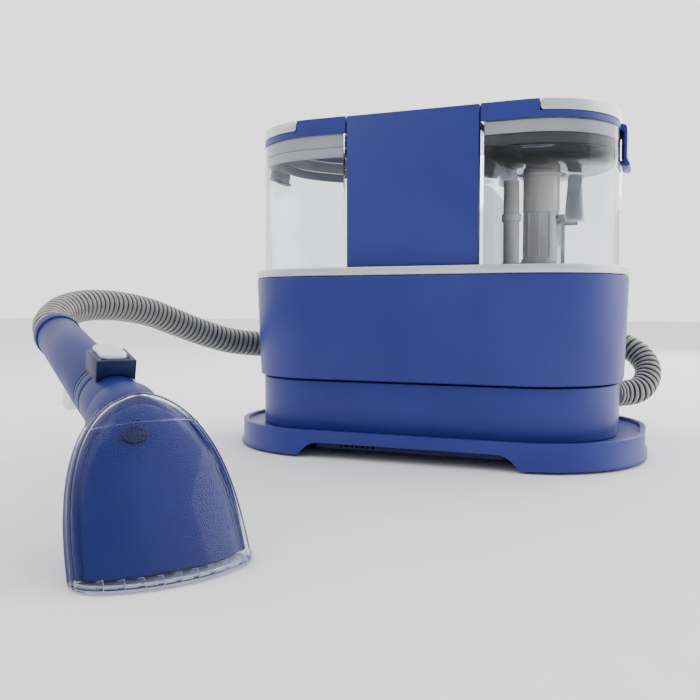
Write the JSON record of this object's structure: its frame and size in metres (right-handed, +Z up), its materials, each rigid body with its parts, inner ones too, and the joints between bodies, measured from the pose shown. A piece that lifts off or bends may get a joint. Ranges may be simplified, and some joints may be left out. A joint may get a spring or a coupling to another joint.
{
  "type": "portable carpet cleaner",
  "caption": "Portable spot carpet cleaner: low oval base, central tower between two lift-off clear water tanks, and a hand tool with a domed clear nozzle on a corrugated hose.",
  "frame": {"origin": "centre of the whole object's footprint at floor level, measured without the free hose and its cuff", "axes": "+Z up; +X along the machine towards its dirty-water tank; -Y is the machine's front, where the hand tool lies"},
  "size_m": [0.487, 0.666, 0.3107],
  "materials": {
    "blue_plastic": "satin moulded ABS",
    "navy_plastic": "fine-textured moulded plastic",
    "silver_plastic": "silver painted plastic",
    "clear_plastic": "clear moulded polycarbonate",
    "smoke_plastic": "smoked clear plastic",
    "frosted_plastic": "frosted translucent plastic",
    "seal_rubber": "soft moulded seal",
    "foot_rubber": "matt rubber",
    "black_plastic": "plain moulded plastic",
    "hose_vinyl": "corrugated flexible vinyl",
    "white_plastic": "smooth moulded plastic",
    "steel": "plain steel",
    "copper_windings": "enamelled copper windings",
    "circuit_laminate": "glass-fibre laminate"
  },
  "bodies": {
    "machine": {"base_tray": "blue_plastic", "rubber_foot_1": "foot_rubber", "rubber_foot_2": "foot_rubber", "rubber_foot_3": "foot_rubber", "rubber_foot_4": "foot_rubber", "base_vent": "navy_plastic", "lower_casing": "blue_plastic", "upper_casing": "blue_plastic", "trim_band": "silver_plastic", "tank_deck": "navy_plastic", "exhaust_grille": "black_plastic", "cord_gland": "foot_rubber", "tower_body": "blue_plastic", "tower_front_panel": "blue_plastic", "carry_handle": "navy_plastic", "power_switch": "black_plastic", "fan_housing": "black_plastic", "motor_housing": "steel", "solution_pump": "black_plastic", "circuit_board": "circuit_laminate", "recovery_duct": "black_plastic", "air_duct": "black_plastic", "supply_tube": "white_plastic", "hose_port": "navy_plastic", "hose_cuff": "navy_plastic", "hose_tube": "hose_vinyl", "hose_hook_left": "navy_plastic", "hose_hook_right": "navy_plastic"},
    "fan_rotor": {"impeller": "steel", "motor_rotor": "copper_windings"},
    "button": {"power_button": "silver_plastic"},
    "dirty_tank_unit": {"dirty_tank": "clear_plastic", "riser_foot": "frosted_plastic", "riser_tube": "frosted_plastic", "float_guide": "smoke_plastic"},
    "dirty_lid_unit": {"dirty_lid": "blue_plastic", "dirty_lid_skirt": "frosted_plastic", "dirty_lid_seal": "seal_rubber", "splash_dish": "smoke_plastic", "separator_cone": "clear_plastic"},
    "dirty_bail_unit": {"dirty_bail": "silver_plastic"},
    "dirty_latch_unit": {"dirty_latch": "blue_plastic"},
    "float_unit": {"float": "white_plastic"},
    "clean_tank_unit": {"clean_tank": "clear_plastic"},
    "clean_lid_unit": {"clean_lid": "blue_plastic", "clean_lid_skirt": "frosted_plastic", "clean_lid_seal": "seal_rubber"},
    "clean_bail_unit": {"clean_bail": "silver_plastic"},
    "clean_latch_unit": {"clean_latch": "blue_plastic"},
    "valve_unit": {"outlet_valve": "white_plastic"},
    "handset": {"handle_grip": "blue_plastic", "handle_collar": "blue_plastic", "spray_valve": "black_plastic", "latch_housing": "navy_plastic"},
    "nozzle_unit": {"nozzle_neck": "blue_plastic", "nozzle_body": "blue_plastic", "nozzle_cover": "clear_plastic", "spray_jet": "navy_plastic"},
    "trigger_unit": {"spray_trigger": "white_plastic"},
    "thumb_latch_unit": {"release_latch": "silver_plastic"}
  },
  "joints": [
    {"name": "fan_spin", "type": "hinge", "parent": "machine", "child": "fan_rotor", "pos_m": [0.0073, 0.13878, 0.09], "axis": [0, 0, 1], "continuous": true},
    {"name": "power_press", "type": "slide", "parent": "machine", "child": "button", "axis": [0, 0, -1], "range_m": [0, 0.0025], "stiffness_N_per_m": 400},
    {"name": "dirty_tank_lift", "type": "slide", "parent": "machine", "child": "dirty_tank_unit", "axis": [0, 0, 1], "range_m": [0, 0.2]},
    {"name": "dirty_lid_lift", "type": "slide", "parent": "dirty_tank_unit", "child": "dirty_lid_unit", "axis": [0, 0, 1], "range_m": [0, 0.08]},
    {"name": "dirty_bail_turn", "type": "hinge", "parent": "dirty_lid_unit", "child": "dirty_bail_unit", "pos_m": [0.1351, 0.13478, 0.3047], "axis": [0, -1, 0], "range_deg": [0, 90]},
    {"name": "dirty_latch_turn", "type": "hinge", "parent": "dirty_lid_unit", "child": "dirty_latch_unit", "pos_m": [0.1913, 0.13478, 0.2972], "axis": [0, -1, 0], "range_deg": [0, 50], "stiffness_Nm_per_rad": 0.05},
    {"name": "float_rise", "type": "slide", "parent": "dirty_tank_unit", "child": "float_unit", "axis": [0, 0, 1], "range_m": [0, 0.028]},
    {"name": "clean_tank_lift", "type": "slide", "parent": "machine", "child": "clean_tank_unit", "axis": [0, 0, 1], "range_m": [0, 0.2]},
    {"name": "clean_lid_lift", "type": "slide", "parent": "clean_tank_unit", "child": "clean_lid_unit", "axis": [0, 0, 1], "range_m": [0, 0.08]},
    {"name": "clean_bail_turn", "type": "hinge", "parent": "clean_lid_unit", "child": "clean_bail_unit", "pos_m": [-0.0965, 0.13478, 0.3047], "axis": [0, 1, 0], "range_deg": [0, 90]},
    {"name": "clean_latch_turn", "type": "hinge", "parent": "clean_lid_unit", "child": "clean_latch_unit", "pos_m": [-0.1527, 0.13478, 0.2972], "axis": [0, 1, 0], "range_deg": [0, 50], "stiffness_Nm_per_rad": 0.05},
    {"name": "outlet_valve_lift", "type": "slide", "parent": "clean_tank_unit", "child": "valve_unit", "axis": [0, 0, 1], "range_m": [0, 0.004], "stiffness_N_per_m": 150},
    {"name": "handset_pull", "type": "slide", "parent": "machine", "child": "handset", "axis": [0.808, -0.5892, 0], "range_m": [0, 0.1]},
    {"name": "nozzle_pull_off", "type": "slide", "parent": "handset", "child": "nozzle_unit", "axis": [0.7824, -0.5706, -0.2495], "range_m": [0, 0.02]},
    {"name": "trigger_squeeze", "type": "hinge", "parent": "handset", "child": "trigger_unit", "pos_m": [-0.17245, -0.17573, 0.09305], "axis": [0.5892, 0.808, 0], "range_deg": [0, 12], "stiffness_Nm_per_rad": 0.4},
    {"name": "thumb_latch_press", "type": "hinge", "parent": "handset", "child": "thumb_latch_unit", "pos_m": [-0.09922, -0.22912, 0.11214], "axis": [0.5892, 0.808, 0], "range_deg": [0, 8], "stiffness_Nm_per_rad": 0.4}
  ]
}
